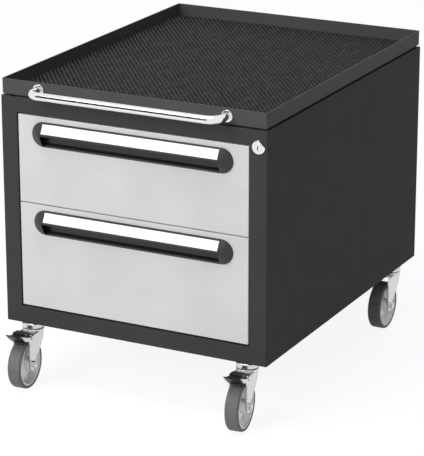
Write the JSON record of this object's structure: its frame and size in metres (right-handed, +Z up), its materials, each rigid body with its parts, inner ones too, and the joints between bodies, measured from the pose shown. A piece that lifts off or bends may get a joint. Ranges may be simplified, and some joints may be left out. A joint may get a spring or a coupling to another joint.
{
  "type": "rolling drawer container",
  "caption": "Low rolling cabinet with full-extension drawers, a rimmed top tray with a ribbed mat, a push rail, a cam lock and swivel casters, brakes on the front ones.",
  "frame": {"origin": "on the floor under the middle of the object's bounding box", "axes": "+X to the right seen from the drawer fronts, -Y towards the drawer fronts, +Z up"},
  "size_m": [0.5808, 0.8086, 0.628],
  "materials": {
    "cabinet_paint": "satin dark grey powder coat",
    "tray_paint": "satin dark grey powder coat",
    "inner_paint": "satin grey powder coat",
    "drawer_paint": "satin light grey powder coat",
    "handle_plastic": "fine-grained black plastic",
    "label_silver": "satin anodised strip",
    "polished_chrome": "polished chrome plate",
    "zinc_plate": "bright zinc plate",
    "slide_steel": "zinc-plated rolled steel",
    "pedal_plastic": "black moulded plastic",
    "rim_plastic": "light grey moulded plastic",
    "tyre_rubber": "grey rubber tread",
    "mat_rubber": "black rubber mat with fine ribs"
  },
  "bodies": {
    "cabinet": {"left_side_panel": "cabinet_paint", "right_side_panel": "cabinet_paint", "back_panel": "cabinet_paint", "bottom_panel": "cabinet_paint", "top_panel": "cabinet_paint", "front_top_rail": "cabinet_paint", "front_bottom_rail": "cabinet_paint", "slide_uprights": "zinc_plate", "pan_head_screws": "zinc_plate", "lock_housing": "polished_chrome", "lock_nut": "zinc_plate", "lock_bar_guides": "zinc_plate", "top_tray": "tray_paint", "tray_screws": "zinc_plate", "ribbed_mat": "mat_rubber", "push_rail": "polished_chrome", "push_rail_flanges": "polished_chrome", "upper_outer_slides": "slide_steel", "lower_outer_slides": "slide_steel", "caster_heads": "zinc_plate", "caster_bolts": "zinc_plate"},
    "upper_drawer": {"upper_drawer_box": "inner_paint", "upper_drawer_front": "drawer_paint", "upper_handle_grip": "handle_plastic", "upper_label_strip": "label_silver", "upper_handle_end_caps": "handle_plastic", "upper_inner_slides": "slide_steel"},
    "upper_mid_members": {"upper_mid_slides": "slide_steel"},
    "upper_outer_cages": {"upper_outer_ball_cages": "slide_steel"},
    "upper_inner_cages": {"upper_inner_ball_cages": "slide_steel"},
    "lower_drawer": {"lower_drawer_box": "inner_paint", "lower_drawer_front": "drawer_paint", "lower_handle_grip": "handle_plastic", "lower_label_strip": "label_silver", "lower_handle_end_caps": "handle_plastic", "lower_inner_slides": "slide_steel"},
    "lower_mid_members": {"lower_mid_slides": "slide_steel"},
    "lower_outer_cages": {"lower_outer_ball_cages": "slide_steel"},
    "lower_inner_cages": {"lower_inner_ball_cages": "slide_steel"},
    "lock_cylinder": {"lock_core": "polished_chrome", "lock_cam": "zinc_plate"},
    "locking_bar": {"lock_bar": "zinc_plate"},
    "front_left_caster": {"front_left_caster_fork": "zinc_plate", "front_left_axle": "zinc_plate"},
    "front_left_wheel": {"front_left_rim": "rim_plastic", "front_left_tyre": "tyre_rubber"},
    "front_left_brake": {"front_left_brake_pedal": "pedal_plastic"},
    "front_right_caster": {"front_right_caster_fork": "zinc_plate", "front_right_axle": "zinc_plate"},
    "front_right_wheel": {"front_right_rim": "rim_plastic", "front_right_tyre": "tyre_rubber"},
    "front_right_brake": {"front_right_brake_pedal": "pedal_plastic"},
    "rear_left_caster": {"rear_left_caster_fork": "zinc_plate", "rear_left_axle": "zinc_plate"},
    "rear_left_wheel": {"rear_left_rim": "rim_plastic", "rear_left_tyre": "tyre_rubber"},
    "rear_right_caster": {"rear_right_caster_fork": "zinc_plate", "rear_right_axle": "zinc_plate"},
    "rear_right_wheel": {"rear_right_rim": "rim_plastic", "rear_right_tyre": "tyre_rubber"}
  },
  "joints": [
    {"name": "upper_drawer_slide", "type": "slide", "parent": "cabinet", "child": "upper_drawer", "axis": [0, -1, 0], "range_m": [0, 0.6]},
    {"name": "upper_mid_members_slide", "type": "slide", "parent": "cabinet", "child": "upper_mid_members", "axis": [0, -1, 0], "range_m": [0, 0.3]},
    {"name": "upper_outer_cages_slide", "type": "slide", "parent": "cabinet", "child": "upper_outer_cages", "axis": [0, -1, 0], "range_m": [0, 0.15]},
    {"name": "upper_inner_cages_slide", "type": "slide", "parent": "cabinet", "child": "upper_inner_cages", "axis": [0, -1, 0], "range_m": [0, 0.45]},
    {"name": "lower_drawer_slide", "type": "slide", "parent": "cabinet", "child": "lower_drawer", "axis": [0, -1, 0], "range_m": [0, 0.6]},
    {"name": "lower_mid_members_slide", "type": "slide", "parent": "cabinet", "child": "lower_mid_members", "axis": [0, -1, 0], "range_m": [0, 0.3]},
    {"name": "lower_outer_cages_slide", "type": "slide", "parent": "cabinet", "child": "lower_outer_cages", "axis": [0, -1, 0], "range_m": [0, 0.15]},
    {"name": "lower_inner_cages_slide", "type": "slide", "parent": "cabinet", "child": "lower_inner_cages", "axis": [0, -1, 0], "range_m": [0, 0.45]},
    {"name": "lock_turn", "type": "hinge", "parent": "cabinet", "child": "lock_cylinder", "pos_m": [0.27125, -0.30722, 0.562], "axis": [0, 1, 0], "range_deg": [0, 90]},
    {"name": "locking_bar_lift", "type": "slide", "parent": "cabinet", "child": "locking_bar", "axis": [0, 0, 1], "range_m": [0, 0.01202]},
    {"name": "front_left_swivel", "type": "hinge", "parent": "cabinet", "child": "front_left_caster", "pos_m": [-0.24, -0.31272, 0.112], "axis": [0, 0, 1], "continuous": true},
    {"name": "front_left_wheel_turn", "type": "hinge", "parent": "front_left_caster", "child": "front_left_wheel", "pos_m": [-0.23714, -0.35362, 0.05], "axis": [0.9976, 0.0698, 0], "continuous": true},
    {"name": "front_left_brake_press", "type": "hinge", "parent": "front_left_caster", "child": "front_left_brake", "pos_m": [-0.23686, -0.35761, 0.107], "axis": [0.9976, 0.0698, 0], "range_deg": [0, 9.5]},
    {"name": "front_right_swivel", "type": "hinge", "parent": "cabinet", "child": "front_right_caster", "pos_m": [0.24, -0.31272, 0.112], "axis": [0, 0, 1], "continuous": true},
    {"name": "front_right_wheel_turn", "type": "hinge", "parent": "front_right_caster", "child": "front_right_wheel", "pos_m": [0.24429, -0.35349, 0.05], "axis": [0.9945, 0.1045, 0], "continuous": true},
    {"name": "front_right_brake_press", "type": "hinge", "parent": "front_right_caster", "child": "front_right_brake", "pos_m": [0.2447, -0.35747, 0.107], "axis": [0.9945, 0.1045, 0], "range_deg": [0, 9.5]},
    {"name": "rear_left_swivel", "type": "hinge", "parent": "cabinet", "child": "rear_left_caster", "pos_m": [-0.265, 0.32728, 0.112], "axis": [0, 0, 1], "continuous": true},
    {"name": "rear_left_wheel_turn", "type": "hinge", "parent": "rear_left_caster", "child": "rear_left_wheel", "pos_m": [-0.26357, 0.28631, 0.05], "axis": [0.9994, 0.0349, 0], "continuous": true},
    {"name": "rear_right_swivel", "type": "hinge", "parent": "cabinet", "child": "rear_right_caster", "pos_m": [0.265, 0.32728, 0.112], "axis": [0, 0, 1], "continuous": true},
    {"name": "rear_right_wheel_turn", "type": "hinge", "parent": "rear_right_caster", "child": "rear_right_wheel", "pos_m": [0.26572, 0.28629, 0.05], "axis": [0.9998, 0.0175, 0], "continuous": true}
  ],
  "couplings": [
    {"joint": "upper_mid_members_slide", "follows": "upper_drawer_slide", "ratio": 0.5},
    {"joint": "upper_outer_cages_slide", "follows": "upper_drawer_slide", "ratio": 0.25},
    {"joint": "upper_inner_cages_slide", "follows": "upper_drawer_slide", "ratio": 0.75},
    {"joint": "lower_mid_members_slide", "follows": "lower_drawer_slide", "ratio": 0.5},
    {"joint": "lower_outer_cages_slide", "follows": "lower_drawer_slide", "ratio": 0.25},
    {"joint": "lower_inner_cages_slide", "follows": "lower_drawer_slide", "ratio": 0.75},
    {"joint": "lock_turn", "follows": "locking_bar_lift", "rad_per_m": 130.67}
  ]
}
